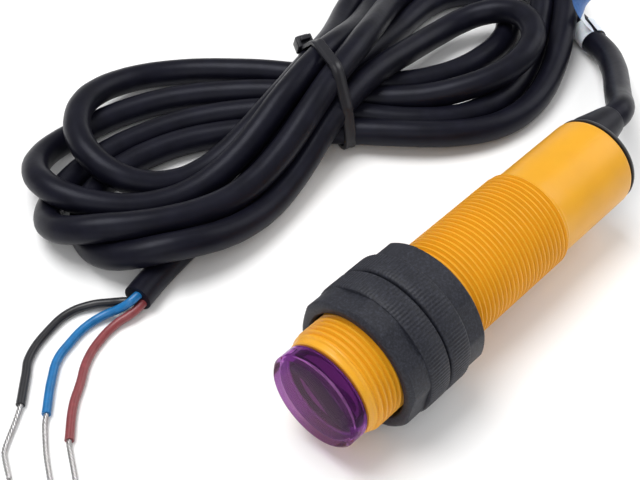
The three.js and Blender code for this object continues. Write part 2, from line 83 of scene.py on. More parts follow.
# The hank: a figure of eight, with all its runs piled up and strapped together at the tie.
HANK = [
    (-20.0, 65.9, 4.1), (-25.0, 68.9, 2.9), (-30.4, 71.5, 2.5), (-36.0, 73.4, 2.5),
    (-41.7, 74.3, 2.5), (-47.4, 74.0, 2.5), (-52.8, 72.3, 2.5), (-57.3, 69.2, 2.5),
    (-60.5, 64.8, 2.6), (-62.1, 59.6, 3.0), (-62.1, 54.1, 4.0), (-60.8, 48.8, 5.4),
    (-58.7, 43.8, 7.3), (-56.2, 38.9, 9.2), (-53.7, 34.0, 11.0), (-51.4, 28.9, 12.5),
    (-49.4, 23.5, 13.2), (-47.8, 18.0, 13.3), (-46.3, 12.4, 12.7), (-44.8, 6.8, 11.6),
    (-43.5, 1.3, 10.1), (-42.5, -4.3, 8.7), (-42.0, -10.0, 7.7), (-42.2, -15.7, 7.4),
    (-43.4, -21.4, 7.7), (-45.4, -26.8, 8.3), (-48.2, -31.8, 8.8), (-51.8, -36.1, 8.8),
    (-56.1, -39.2, 7.5), (-60.7, -40.0, 5.4), (-65.1, -38.3, 3.5), (-68.4, -34.3, 2.6),
    (-70.3, -29.1, 2.5), (-71.0, -23.4, 2.5), (-70.7, -17.5, 2.5), (-69.5, -11.8, 2.5),
    (-67.6, -6.2, 2.6), (-64.9, -1.0, 2.7), (-61.5, 3.8, 2.9), (-57.6, 8.1, 3.1),
    (-53.2, 12.0, 3.3), (-48.5, 15.5, 3.5), (-43.8, 19.0, 3.4), (-39.1, 22.5, 3.1),
    (-34.8, 26.4, 2.9), (-31.2, 30.9, 2.6), (-28.8, 36.0, 2.5), (-27.8, 41.5, 2.5),
    (-28.3, 47.2, 2.6), (-29.8, 52.8, 2.9), (-32.0, 58.2, 3.6), (-34.7, 63.3, 4.8),
    (-37.8, 68.1, 6.1), (-41.4, 72.5, 7.2), (-45.6, 76.3, 7.3), (-50.4, 78.6, 6.3),
    (-55.5, 79.1, 4.9), (-60.3, 77.3, 3.6), (-64.1, 73.6, 2.8), (-66.6, 68.7, 2.5),
    (-67.7, 63.2, 2.5), (-67.7, 57.6, 2.5), (-66.6, 52.0, 2.7), (-64.7, 46.7, 3.3),
    (-62.3, 41.6, 4.5), (-59.8, 36.8, 6.4), (-57.5, 32.0, 8.6), (-55.6, 26.9, 10.7),
    (-54.1, 21.5, 12.2), (-52.7, 15.9, 12.8), (-51.5, 10.2, 12.5), (-50.5, 4.5, 11.4),
    (-49.6, -1.1, 9.6), (-49.1, -6.7, 7.7), (-49.2, -12.4, 6.2), (-50.0, -18.1, 5.4),
    (-51.8, -23.5, 5.4), (-54.6, -28.5, 6.1), (-58.5, -32.5, 7.1), (-63.2, -35.1, 7.8),
    (-68.4, -35.7, 7.6), (-73.2, -34.1, 6.4), (-76.7, -30.5, 4.8), (-78.6, -25.5, 3.5),
    (-79.0, -20.0, 2.7), (-78.4, -14.3, 2.5), (-76.8, -8.7, 2.5), (-74.4, -3.3, 2.6),
    (-71.2, 1.6, 2.7), (-67.5, 6.1, 2.8), (-63.3, 10.2, 3.1), (-58.8, 14.0, 3.3),
    (-54.2, 17.6, 3.4), (-49.4, 21.0, 3.5), (-44.7, 24.4, 3.7), (-40.1, 28.0, 4.2),
    (-36.0, 31.8, 5.0), (-32.5, 36.2, 6.1), (-29.9, 41.1, 7.0), (-28.6, 46.4, 7.8),
    (-29.1, 51.8, 8.4), (-31.5, 56.4, 8.6), (-35.6, 59.3, 8.4), (-40.4, 59.6, 7.4),
    (-44.4, 57.2, 6.1), (-46.9, 52.7, 5.0), (-47.8, 47.4, 4.7), (-47.8, 41.7, 5.3),
    (-47.3, 36.0, 6.4), (-46.7, 30.3, 7.6), (-45.9, 24.5, 8.5), (-44.9, 18.7, 8.8),
    (-43.7, 13.0, 8.4), (-42.4, 7.3, 7.2), (-41.0, 1.8, 5.6), (-39.6, -3.9, 4.5),
    (-38.5, -9.7, 4.1), (-38.0, -15.5, 4.6), (-38.3, -21.2, 5.7), (-39.6, -26.7, 7.0),
    (-42.1, -31.7, 7.4), (-45.8, -35.6, 6.2), (-50.4, -37.5, 4.3), (-55.5, -37.1, 2.9),
    (-60.2, -34.6, 2.5), (-63.6, -30.3, 2.5), (-65.6, -25.1, 2.5), (-65.9, -19.4, 2.5),
    (-64.9, -13.7, 2.5), (-63.0, -8.2, 2.5), (-60.2, -3.1, 2.5), (-56.8, 1.6, 2.5),
    (-52.7, 5.8, 2.8), (-48.3, 9.5, 3.2), (-43.7, 12.9, 3.5), (-39.1, 16.3, 3.9),
    (-34.6, 19.8, 4.1), (-30.4, 23.6, 4.0), (-26.8, 28.0, 3.6), (-24.1, 32.9, 3.1),
    (-22.6, 38.2, 2.7), (-22.3, 43.9, 2.6), (-23.2, 49.5, 2.8), (-25.0, 55.0, 3.6),
    (-27.4, 60.3, 4.8), (-30.3, 65.4, 6.1), (-33.4, 70.3, 7.2), (-37.0, 75.0, 7.4),
    (-41.0, 79.1, 6.6), (-45.6, 82.3, 5.3), (-50.8, 84.2, 4.1), (-56.2, 84.4, 3.1),
    (-61.5, 82.7, 2.7), (-65.9, 79.3, 2.5), (-69.3, 74.8, 2.5), (-71.6, 69.4, 2.5),
    (-72.7, 63.6, 2.5), (-72.7, 57.7, 2.5), (-71.8, 51.9, 2.5), (-69.9, 46.3, 2.6),
    (-67.5, 41.0, 3.1), (-64.7, 36.0, 4.1), (-61.9, 31.1, 5.6), (-59.4, 26.1, 7.2),
    (-57.4, 20.9, 8.4), (-55.7, 15.4, 8.9), (-54.5, 9.8, 8.5), (-53.7, 4.2, 7.5),
    (-53.2, -1.4, 6.1), (-53.1, -6.9, 4.7), (-53.6, -12.5, 3.9), (-55.1, -17.8, 4.1),
    (-57.9, -22.2, 5.1), (-62.1, -25.0, 6.6), (-67.2, -25.7, 7.8), (-72.4, -24.4, 8.3),
    (-77.0, -21.3, 8.0), (-80.5, -17.0, 7.2), (-82.5, -11.9, 5.8), (-82.9, -6.5, 4.4),
    (-81.8, -1.1, 3.3), (-79.2, 3.9, 2.7), (-75.5, 8.3, 2.6), (-71.1, 12.1, 2.8),
    (-66.4, 15.5, 3.2), (-61.5, 18.7, 3.4), (-56.6, 22.0, 3.4), (-51.9, 25.4, 3.1),
    (-47.5, 29.2, 2.7), (-43.8, 33.5, 2.5), (-40.9, 38.4, 2.5), (-38.9, 43.8, 2.5),
    (-38.1, 49.5, 2.5), (-38.4, 55.2, 2.5), (-40.2, 60.5, 2.5), (-43.6, 64.5, 2.5),
    (-48.1, 66.2, 2.5), (-52.7, 64.9, 2.5), (-55.8, 61.0, 2.5), (-57.0, 55.8, 2.6),
    (-56.7, 50.1, 2.8), (-55.5, 44.4, 3.5), (-54.2, 38.8, 4.7), (-52.9, 33.2, 6.2),
    (-51.7, 27.6, 7.6), (-50.6, 21.8, 8.6), (-49.7, 16.0, 8.8), (-48.6, 10.3, 8.3),
    (-47.6, 4.6, 7.1), (-46.5, -0.9, 5.5), (-45.6, -6.5, 4.1), (-44.8, -12.2, 3.1),
    (-44.2, -18.0, 2.7), (-43.5, -23.8, 2.5), (-42.6, -29.6, 2.5), (-41.4, -35.4, 2.5),
    (-40.3, -39.2, 2.6),
]
BLACK_WIRE = [
    (-40.9, -39.0, 2.0), (-41.05, -40.1, 1.95), (-41.9, -41.0, 1.95), (-43.6, -42.4, 1.5),
    (-45.9, -44.7, 1.0), (-47.4, -48.3, 0.78), (-47.0, -52.6, 0.76), (-44.7, -58.7, 0.76),
    (-42.4, -61.1, 0.76), (-38.3, -65.3, 0.76),
]
BLUE_WIRE = [
    (-40.15, -38.8, 3.5), (-40.1, -39.8, 3.45), (-40.2, -41.0, 3.1), (-41.2, -42.6, 2.0),
    (-42.6, -44.8, 1.1), (-43.1, -48.3, 0.78), (-42.3, -52.4, 0.76), (-41.2, -55.6, 0.76),
    (-38.9, -58.6, 0.76), (-34.0, -63.6, 0.76),
]
BROWN_WIRE = [
    (-39.4, -38.6, 2.0), (-39.2, -39.5, 1.95), (-39.2, -41.5, 1.6), (-39.8, -44.4, 1.0),
    (-39.2, -48.6, 0.76), (-37.5, -52.6, 0.76), (-34.7, -56.3, 0.76), (-32.3, -59.6, 0.76),
    (-27.6, -64.2, 0.76),
]
BLACK_TIP = [
    (-39.0, -64.6, 0.76), (-38.0, -65.6, 0.74), (-36.3, -68.0, 0.6), (-33.7, -71.8, 0.52),
    (-32.1, -73.0, 0.52), (-28.9, -74.6, 0.52),
]
BLUE_TIP = [
    (-34.7, -62.9, 0.76), (-33.7, -63.9, 0.74), (-32.4, -65.2, 0.62), (-28.4, -68.1, 0.52),
    (-24.4, -70.5, 0.52), (-23.1, -71.4, 0.52),
]
BROWN_TIP = [
    (-28.3, -63.4, 0.76), (-27.3, -64.5, 0.74), (-26.1, -65.3, 0.62), (-21.7, -67.9, 0.52),
    (-19.7, -69.4, 0.52),
]


# ---- materials -------------------------------------------------------------------------------
LENS_RAMP_PER_M = 100.0  # the lens's colour ramp covers one centimetre of radius
LABEL_BLUE_FROM = 9.0  # mm above the surface


class Graph:
    """A material's node tree with short ways to add nodes."""

    def __init__(self, name, rough=0.5, metal=0.0):
        self.material = bpy.data.materials.new(name)
        self.material.use_nodes = True
        self.tree = self.material.node_tree
        self.shader = self.tree.nodes["Principled BSDF"]
        self.set(self.shader, Roughness=rough, Metallic=metal)
        self.coords = self.tree.nodes.new("ShaderNodeTexCoord")

    def set(self, node, **values):
        for key, value in values.items():
            node.inputs[key.replace("_", " ")].default_value = value

    def add(self, kind, **values):
        node = self.tree.nodes.new(kind)
        self.set(node, **values)
        return node

    def link(self, source, target):
        self.tree.links.new(source, target)

    def scaled(self, scale):
        """Object coordinates times a scale, one value or three."""
        mapping = self.tree.nodes.new("ShaderNodeMapping")
        size = (scale,) * 3 if isinstance(scale, (int, float)) else scale
        mapping.inputs["Scale"].default_value = size
        self.link(self.coords.outputs["Object"], mapping.inputs["Vector"])
        return mapping.outputs["Vector"]

    def noise(self, scale, detail=3.0, rough=0.55):
        node = self.add("ShaderNodeTexNoise", Scale=1.0, Detail=detail, Roughness=rough)
        self.link(self.scaled(scale), node.inputs["Vector"])
        return node.outputs["Fac"]

    def cells(self, scale):
        node = self.add("ShaderNodeTexVoronoi", Scale=1.0)
        self.link(self.scaled(scale), node.inputs["Vector"])
        return node.outputs["Distance"]

    def ramp(self, factor, stops):
        node = self.tree.nodes.new("ShaderNodeValToRGB")
        while len(node.color_ramp.elements) < len(stops):
            node.color_ramp.elements.new(0.5)
        for element, (place, color) in zip(node.color_ramp.elements, stops):
            element.position = place
            element.color = (*color, 1.0) if len(color) == 3 else color
        self.link(factor, node.inputs["Fac"])
        return node.outputs["Color"]

    def math(self, operation, first, second=0.5):
        node = self.tree.nodes.new("ShaderNodeMath")
        node.operation = operation
        for socket, value in zip(node.inputs, (first, second)):
            if isinstance(value, (int, float)):
                socket.default_value = value
            else:
                self.link(value, socket)
        return node.outputs["Value"]

    def mix(self, factor, first, second):
        node = self.tree.nodes.new("ShaderNodeMix")
        node.data_type = "RGBA"
        pairs = ((node.inputs[0], factor), (node.inputs[6], first), (node.inputs[7], second))
        for socket, value in pairs:
            if isinstance(value, tuple):
                socket.default_value = (*value, 1.0) if len(value) == 3 else value
            elif isinstance(value, (int, float)):
                socket.default_value = value
            else:
                self.link(value, socket)
        return node.outputs[2]

    def color(self, source):
        self.link(source, self.shader.inputs["Base Color"])

    def rough(self, factor, low, high):
        span = self.add("ShaderNodeMapRange", To_Min=low, To_Max=high)
        self.link(factor, span.inputs["Value"])
        self.link(span.outputs["Result"], self.shader.inputs["Roughness"])

    def bump(self, height, strength, distance, before=None):
        node = self.add("ShaderNodeBump", Strength=strength, Distance=distance)
        self.link(height, node.inputs["Height"])
        if before is not None:
            self.link(before, node.inputs["Normal"])
        self.link(node.outputs["Normal"], self.shader.inputs["Normal"])
        return node.outputs["Normal"]


def tint(color, gain):
    return tuple(min(1.0, c * gain) for c in color)


def moulded(name, color, rough, grain=0.15, grain_size=0.25, spread=0.12):
    """Moulded plastic: slow colour drift, a fine grain and small changes of gloss."""
    g = Graph(name, rough)
    drift = g.noise(90.0)
    g.color(g.ramp(drift, [(0.3, tint(color, 1 - spread)), (0.7, tint(color, 1 + spread))]))
    g.rough(g.noise(700.0, 4.0), rough - 0.07, rough + 0.09)
    g.bump(g.noise(1.0 / (grain_size * MM), 2.0), grain, 0.00005)
    return g


def barrel_plastic():
    color = (0.72, 0.34, 0.014)
    g = moulded("barrel_plastic", color, 0.36, 0.10, 0.35, 0.05)
    g.set(g.shader, Subsurface_Weight=0.12, Subsurface_Scale=0.0008, Specular_IOR_Level=0.36)
    g.shader.inputs["Subsurface Radius"].default_value = (1.0, 0.5, 0.1)
    return g.material


def nut_plastic():
    color = (0.016, 0.017, 0.024)
    g = moulded("nut_plastic", color, 0.5, 0.45, 0.22, 0.2)
    specks = g.noise(2600.0, 4.0, 0.7)
    g.color(g.ramp(specks, [(0.3, tint(color, 0.5)), (0.5, color), (0.72, tint(color, 2.2))]))
    g.set(g.shader, Specular_IOR_Level=0.28)
    g.bump(specks, 0.35, 0.00008)
    return g.material


def jacket_plastic(name="cable_jacket", color=(0.0045, 0.0045, 0.009)):
    """Soft black plastic with a satin gloss, grain and slow dents."""
    g = Graph(name, 0.40)
    g.set(g.shader, Specular_IOR_Level=0.16, Specular_Tint=(0.86, 0.88, 1.0, 1.0))
    drift = g.noise(260.0, 4.0)
    g.color(g.ramp(drift, [(0.3, tint(color, 0.75)), (0.75, tint(color, 1.5))]))
    g.rough(g.noise(900.0, 5.0), 0.30, 0.47)
    first = g.bump(g.noise(2600.0, 3.0), 0.12, 0.00005)
    g.bump(g.noise(420.0, 2.0), 0.18, 0.00012, first)
    return g.material


def insulation(name, color):
    g = Graph(name, 0.34)
    g.color(g.ramp(g.noise(900.0, 4.0), [(0.3, tint(color, 0.82)), (0.7, tint(color, 1.15))]))
    g.rough(g.noise(2500.0), 0.27, 0.42)
    g.bump(g.noise(3000.0, 2.0), 0.15, 0.00004)
    return g.material


def lens_filter():
    """Clear purple plastic, a little deeper towards the rim."""
    g = Graph("lens_filter", 0.06)
    place_in = g.tree.nodes.new("ShaderNodeSeparateXYZ")
    g.link(g.coords.outputs["Object"], place_in.inputs["Vector"])
    height = g.math("SUBTRACT", place_in.outputs["Z"], AXIS_Z * MM)
    squares = [g.math("MULTIPLY", s, s) for s in (place_in.outputs["X"], height)]
    radius = g.math("MULTIPLY", g.math("SQRT", g.math("ADD", *squares)), LENS_RAMP_PER_M)
    drift = g.math("MULTIPLY", g.noise(120.0), 0.05)
    middle, rim = (0.44, 0.22, 0.42), (0.33, 0.11, 0.39)
    g.color(g.ramp(g.math("ADD", radius, drift), [(0.2, middle), (0.58, middle), (0.68, rim)]))
    g.set(g.shader, Transmission_Weight=0.95, IOR=1.12, Specular_IOR_Level=0.2)
    g.set(g.shader, Specular_Tint=(0.62, 0.30, 0.62, 1.0))
    g.rough(g.noise(1500.0, 4.0), 0.05, 0.12)
    g.bump(g.noise(500.0, 2.0), 0.04, 0.00003)
    return g.material


def opto_resin():
    g = moulded("opto_resin", (0.36, 0.25, 0.40), 0.12, 0.04, 0.4, 0.15)
    g.set(g.shader, Transmission_Weight=0.2, Coat_Weight=0.4)
    return g.material


def board_laminate():
    """Solder mask over copper tracks, with bare pads."""
    g = Graph("board_laminate", 0.32)
    mask = (0.012, 0.10, 0.035)
    tracks = g.add("ShaderNodeTexBrick", Scale=1.0, Mortar_Size=0.09, Brick_Width=2.4)
    tracks.inputs["Row Height"].default_value = 0.9
    g.link(g.scaled((700.0, 700.0, 1.0)), tracks.inputs["Vector"])
    copper = g.mix(tracks.outputs["Fac"], mask, (0.03, 0.20, 0.07))
    pads = g.math("LESS_THAN", g.cells((420.0, 420.0, 1.0)), 0.16)
    g.color(g.mix(pads, copper, (0.55, 0.50, 0.38)))
    g.rough(g.noise(1500.0), 0.24, 0.42)
    g.bump(tracks.outputs["Fac"], 0.3, 0.00004)
    return g.material


def capacitor_can():
    g = Graph("capacitor_can", 0.25, 1.0)
    ring = g.add("ShaderNodeTexWave", Scale=1.0, Distortion=0.6, Detail=2.0)
    g.link(g.scaled((0.0, 900.0, 0.0)), ring.inputs["Vector"])
    g.color(g.ramp(ring.outputs["Fac"], [(0.2, (0.55, 0.56, 0.58)), (0.8, (0.72, 0.73, 0.74))]))
    g.rough(g.noise(2000.0), 0.2, 0.38)
    g.bump(ring.outputs["Fac"], 0.1, 0.00003)
    return g.material


def turned_metal(name, dark, light, rough):
    g = Graph(name, rough, 1.0)
    g.color(g.ramp(g.noise(2500.0, 5.0), [(0.25, dark), (0.75, light)]))
    g.rough(g.noise(6000.0, 2.0), rough - 0.08, rough + 0.15)
    g.bump(g.noise((900.0, 9000.0, 9000.0), 2.0), 0.15, 0.00003)
    return g.material


def indicator_resin():
    g = moulded("indicator_resin", (0.55, 0.02, 0.015), 0.15, 0.03, 0.5, 0.2)
    g.set(g.shader, Transmission_Weight=0.4, Coat_Weight=0.5)
    return g.material


def tie_nylon():
    g = moulded("tie_nylon", (0.011, 0.011, 0.015), 0.36, 0.2, 0.3, 0.25)
    g.set(g.shader, Specular_IOR_Level=0.3)
    return g.material


def label_paper():
    """Coated paper, blue above and white below, with faint fibres and soft creases."""
    g = Graph("label_paper", 0.42)
    split = g.tree.nodes.new("ShaderNodeSeparateXYZ")
    g.link(g.coords.outputs["Object"], split.inputs["Vector"])
    wobble = g.math("MULTIPLY", g.noise(600.0), 0.0006)
    height = g.math("ADD", split.outputs["Z"], wobble)
    edge = g.math("GREATER_THAN", height, LABEL_BLUE_FROM * MM)
    fibres = g.noise((3000.0, 3000.0, 900.0), 5.0)
    white = g.ramp(fibres, [(0.3, (0.70, 0.76, 0.86)), (0.7, (0.86, 0.89, 0.93))])
    blue = g.ramp(fibres, [(0.3, (0.035, 0.13, 0.40)), (0.7, (0.07, 0.20, 0.50))])
    g.color(g.mix(edge, white, blue))
    g.rough(fibres, 0.34, 0.52)
    g.bump(g.noise(350.0, 3.0), 0.35, 0.00015)
    g.set(g.shader, Subsurface_Weight=0.1, Subsurface_Scale=0.0003)
    return g.material


MATERIALS = {
    "barrel_plastic": barrel_plastic(),
    "lens_filter": lens_filter(),
    "black_plastic": moulded("black_plastic", (0.02, 0.02, 0.023), 0.4, 0.2, 0.3, 0.2).material,
    "divider_plastic": moulded(
        "divider_plastic", (0.008, 0.006, 0.008), 0.6, 0.1, 0.3, 0.05
    ).material,
    # The optic holder is black plastic; this pale pink is painted light, standing in for light
    # inside the lens.
    "holder_painted_light": moulded("holder_painted_light", (0.66, 0.48, 0.62), 0.45, 0.2, 0.3, 0.2).material,
    "nut_plastic": nut_plastic(),
    "opto_resin": opto_resin(),
    "board_laminate": board_laminate(),
    "chip_resin": moulded("chip_resin", (0.02, 0.02, 0.022), 0.55, 0.4, 0.12, 0.2).material,
    "capacitor_can": capacitor_can(),
    "trimmer_plastic": moulded("trimmer_plastic", (0.02, 0.10, 0.42), 0.3, 0.1, 0.3).material,
    "trimmer_brass": turned_metal("trimmer_brass", (0.62, 0.44, 0.18), (0.82, 0.64, 0.34), 0.28),
    "indicator_resin": indicator_resin(),
    "gland_rubber": jacket_plastic("gland_rubber", (0.010, 0.010, 0.014)),
    "cable_jacket": jacket_plastic(),
    "wire_black": insulation("wire_black", (0.008, 0.008, 0.011)),
    "wire_blue": insulation("wire_blue", (0.001, 0.135, 0.36)),
    "wire_brown": insulation("wire_brown", (0.21, 0.037, 0.042)),
    "tinned_copper": turned_metal("tinned_copper", (0.34, 0.33, 0.33), (0.60, 0.59, 0.59), 0.3),
    "tie_nylon": tie_nylon(),
    "label_paper": label_paper(),
}
SLOT_OF = {part["node"]: part["material_slot"] for part in frame["record"]["subparts"]}


# ---- placing pieces --------------------------------------------------------------------------
def place(obj, node, body="switch"):
    """Gives a piece its material and its body, and hides the CAD node that it stands for."""
    slot = SLOT_OF[node]
    obj.data.materials.clear()
    obj.data.materials.append(MATERIALS[slot])
    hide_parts(node)
    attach(obj, body)
    return obj


def mesh_object(name, bm, sharp=32.0):
    """Smooth-shaded object, with edges sharper than an angle in degrees kept crisp."""
    bmesh.ops.remove_doubles(bm, verts=bm.verts, dist=1e-7)
    bmesh.ops.recalc_face_normals(bm, faces=bm.faces)
    mesh = bpy.data.meshes.new(name)
    bm.to_mesh(mesh)
    bm.free()
    for polygon in mesh.polygons:
        polygon.use_smooth = True
    mesh.set_sharp_from_angle(angle=math.radians(sharp))
    obj = bpy.data.objects.new(name, mesh)
    bpy.context.scene.collection.objects.link(obj)
    return obj


def axis_point(radius, angle, y, centre=(0.0, 0.0)):
    """Point in metres at a radius in mm round the switch's axis or a line beside it."""
    x = centre[0] + radius * math.cos(angle)
    z = centre[1] + radius * math.sin(angle)
    return (x * MM, (y + REAR_Y) * MM, (z + AXIS_Z) * MM)


def softened(profile, radius, steps=3):
    """The same open profile with small arcs in place of its corners."""
    result = [profile[0]]
    for before, corner, after in zip(profile, profile[1:], profile[2:]):
        into = Vector(corner) - Vector(before)
        out = Vector(after) - Vector(corner)
        turn = into.angle(out)
        reach = min(radius * math.tan(turn / 2), into.length * 0.45, out.length * 0.45)
        if turn < 0.15:
            result.append(corner)
            continue
        start = Vector(corner) - into.normalized() * reach
        end = Vector(corner) + out.normalized() * reach
        for i in range(steps + 1):
            t = i / steps
            first = start.lerp(Vector(corner), t)
            point = first.lerp(Vector(corner).lerp(end, t), t)
            result.append((point.x, point.y))
    result.append(profile[-1])
    return result


def lathe(bm, profile, segments=128, centre=(0.0, 0.0)):
    """Surface of revolution from [radius, y] pairs in mm."""
    rings = []
    for radius, y in profile:
        if radius < 1e-6:
            rings.append([bm.verts.new(axis_point(0.0, 0.0, y, centre))])
            continue
        angles = [2 * math.pi * i / segments for i in range(segments)]
        rings.append([bm.verts.new(axis_point(radius, a, y, centre)) for a in angles])
    for first, second in zip(rings, rings[1:]):
        for i in range(segments):
            j = (i + 1) % segments
            corners = [first[i % len(first)], first[j % len(first)]]
            corners += [second[j % len(second)], second[i % len(second)]]
            unique = list(dict.fromkeys(corners))
            if len(unique) > 2:
                bm.faces.new(unique)
    return rings


def sheet_grid(bm, rows, close=True):
    """Quads between rows of points in metres. Each row closes on itself."""
    lines = [[bm.verts.new(p) for p in row] for row in rows]
    for first, second in zip(lines, lines[1:]):
        count = len(first)
        for i in range(count if close else count - 1):
            j = (i + 1) % count
            bm.faces.new((first[i], first[j], second[j], second[i]))


# For the barrel, nuts, lens, rear cap and strain relief, a place along the axis is in mm from
# the barrel's rear edge, and it is negative towards the lens.
# ---- barrel with its M18 x 1 thread ----------------------------------------------------------
THREAD_FROM = -65.9
THREAD_TO = -18.3
CREST_R = 8.98
ROOT_R = 8.44
NECK_R = 8.40  # in front of the thread
PLAIN_R = 8.35  # behind the thread
BORE_R = 7.32
BORE_MIDDLE = -60.0  # where the two ends' surfaces meet in the bore
RUN_OUT_FRONT = 1.4
RUN_OUT_REAR = 1.0
BARREL_SEGMENTS = 144
# Share of the pitch and share of the thread's height, along one turn.
FLANKS = ((0.0, 0.0), (0.16, 0.0), (0.42, 1.0), (0.60, 1.0), (0.86, 0.0))


def thread_radius(y, height):
    """Crest or root, running out at both ends of the thread."""
    front = min(1.0, max(0.0, (y - THREAD_FROM) / RUN_OUT_FRONT))
    rear = min(1.0, max(0.0, (THREAD_TO - y) / RUN_OUT_REAR))
    root = ROOT_R if y > THREAD_FROM + 0.4 else NECK_R
    return root + (CREST_R - root) * height * front * rear


def build_barrel():
    bm = bmesh.new()
    columns = BARREL_SEGMENTS
    turns = int(THREAD_TO - THREAD_FROM) + 3
    lines = []
    for row in range(turns * len(FLANKS)):
        pitch, step = divmod(row, len(FLANKS))
        share, height = FLANKS[step]
        line = []
        for i in range(columns + 1):
            y = THREAD_FROM - 1.0 + pitch + share + i / columns
            y = min(THREAD_TO, max(THREAD_FROM, y))
            angle = 2 * math.pi * i / columns
            line.append(bm.verts.new(axis_point(thread_radius(y, height), angle, y)))
        lines.append(line)
    for first, second in zip(lines, lines[1:]):
        for i in range(columns):
            corners = (first[i], first[i + 1], second[i + 1], second[i])
            spread = max((a.co - b.co).length for a in corners for b in corners)
            flat = all(abs(v.co.y - first[i].co.y) < 1e-7 for v in corners)
            if not flat and spread < 0.01:
                bm.faces.new(corners)
    front = [
        (NECK_R, THREAD_FROM), (8.32, -66.3), (8.15, -66.48), (BORE_R, -66.5),
        (BORE_R, BORE_MIDDLE),
    ]
    lathe(bm, softened(front, 0.12), BARREL_SEGMENTS)
    rear = [
        (ROOT_R, THREAD_TO), (8.36, THREAD_TO + 0.35), (PLAIN_R, -15.0), (PLAIN_R, -8.0),
        (PLAIN_R, -0.85), (8.29, -0.42), (8.12, -0.14), (7.9, -0.02), (BORE_R, -0.01),
        (BORE_R, -12.0), (BORE_R, BORE_MIDDLE),
    ]
    lathe(bm, rear, BARREL_SEGMENTS)
    return place(mesh_object("barrel_shell", bm, 24.0), "barrel")


# ---- nuts ------------------------------------------------------------------------------------
NUT_SEAM = -52.1
NUT_GAP = 0.15  # from the seam to each nut
NUT_FLANGE = 4.4
NUT_TOTAL = 8.4
FLANGE_R = 11.8
NUT_BORE_R = 9.35
HALF_FLATS = 11.0
HEX_CORNER_R = 11.48
KNURLS = 120
KNURL_DEPTH = 0.085
CHAMFER_R = 10.72
CHAMFER_SLOPE = 1.55


def hex_radius(angle, turn):
    """Radius of the hexagon's outline, with rounded corners."""
    step = math.radians(60.0)
    offset = (angle - math.radians(turn) + step / 2) % step - step / 2
    flat = HALF_FLATS / math.cos(offset)
    return min(flat, HEX_CORNER_R - 0.06 * max(0.0, abs(offset) - 0.30))


def nut_angles(turn):
    """Columns for the hexagon, closer together at the corners."""
    places = (-30, -26, -22, -18.5, -16.9, -15, -10, -5, 0, 5, 10, 15, 16.9, 18.5, 22, 26)
    return [math.radians(turn + 60 * side + place) for side in range(6) for place in places]


def nut_end_limit(depth):
    """Conical chamfer at the hexagon's end, by depth below the end face."""
    return CHAMFER_R + CHAMFER_SLOPE * depth


def build_nut(name, node, side, turn, body):
    """Knurled flange at the seam and a hexagon on its side away from it."""
    bm = bmesh.new()
    base = NUT_SEAM + side * NUT_GAP

    def at(radius, angle, along):
        return axis_point(radius, angle, base + side * along)

    flange_rows = []
    count = KNURLS * 4
    for along, radius, depth in (
        (0.0, NUT_BORE_R, 0.0), (0.0, 11.35, 0.0), (0.08, 11.55, 0.3), (0.22, 11.7, 0.8),
        (0.4, FLANGE_R, 1.0), (2.2, FLANGE_R, 1.0), (4.0, FLANGE_R, 1.0), (4.2, 11.7, 0.8),
        (4.34, 11.58, 0.3), (NUT_FLANGE, 11.4, 0.0), (NUT_FLANGE, 10.6, 0.0),
    ):
        row = []
        for i in range(count):
            angle = 2 * math.pi * i / count
            groove = KNURL_DEPTH * depth * (0.5 - 0.5 * math.cos(KNURLS * angle))
            row.append(at(radius - groove, angle, along))
        flange_rows.append(row)
    sheet_grid(bm, flange_rows)
    angles = nut_angles(turn)
    hex_rows = []
    for along in (4.3, 4.5, 5.6, 6.8, 7.3, 7.6, 7.8, 8.0, 8.15, 8.27, 8.35, NUT_TOTAL):
        depth = NUT_TOTAL - along
        limit = nut_end_limit(depth)
        soft = 0.0 if along < 8.3 else (along - 8.3) * 1.2
        hex_rows.append([at(min(hex_radius(a, turn), limit) - soft, a, along) for a in angles])
    inner = (
        (10.3, NUT_TOTAL), (9.85, NUT_TOTAL), (9.62, 8.33), (NUT_BORE_R, 8.02), (9.32, 7.5),
        (9.32, 0.4), (NUT_BORE_R, 0.0),
    )
    for radius, along in inner:
        hex_rows.append([at(radius, a, along) for a in angles])
    sheet_grid(bm, hex_rows)
    return place(mesh_object(name, bm, 28.0), node, body)


# ---- lens, rear cap, strain relief -----------------------------------------------------------
LENS_FRONT = -70.06
LENS_INSIDE = -68.66  # rear face of the window's disc
LENS_REST = -66.8  # where the rim sits against the barrel's front edge
LENS_REAR = -62.0
SKIRT_R = 7.0
SKIRT_BORE_R = 6.2
WINDOW_BORE_R = 7.45
FINE_SEGMENTS = 128
CAP_FROM = -4.2
CAP_TO = 1.1
CAP_R = 7.75
PLUG_SHARE = 0.9  # of the cap's radius
CABLE_EXIT = (-2.6, 2.6)  # x and z from the axis
CAP_HOLES = (  # x and z from the axis, and radius: for the cable, trimmer and indicator
    (*CABLE_EXIT, 2.9),
    (3.3, -2.9, 1.9),
    (-1.6, -4.4, 1.8),
)


def build_lens():
    """Cup with a thick front disc, a rim over the barrel's edge and a skirt inside it."""
    bm = bmesh.new()
    profile = [
        (0.0, LENS_FRONT), (7.75, LENS_FRONT), (8.22, -69.6), (8.24, LENS_REST),
        (7.02, LENS_REST), (SKIRT_R, LENS_REAR), (SKIRT_BORE_R, LENS_REAR),
        (SKIRT_BORE_R, -66.2), (WINDOW_BORE_R, -66.6), (WINDOW_BORE_R, -68.4),
        (7.2, LENS_INSIDE), (0.0, LENS_INSIDE),
    ]
    lathe(bm, softened(profile, 0.3, 4), FINE_SEGMENTS)
    return place(mesh_object("lens_window", bm, 40.0), "lens_cap")


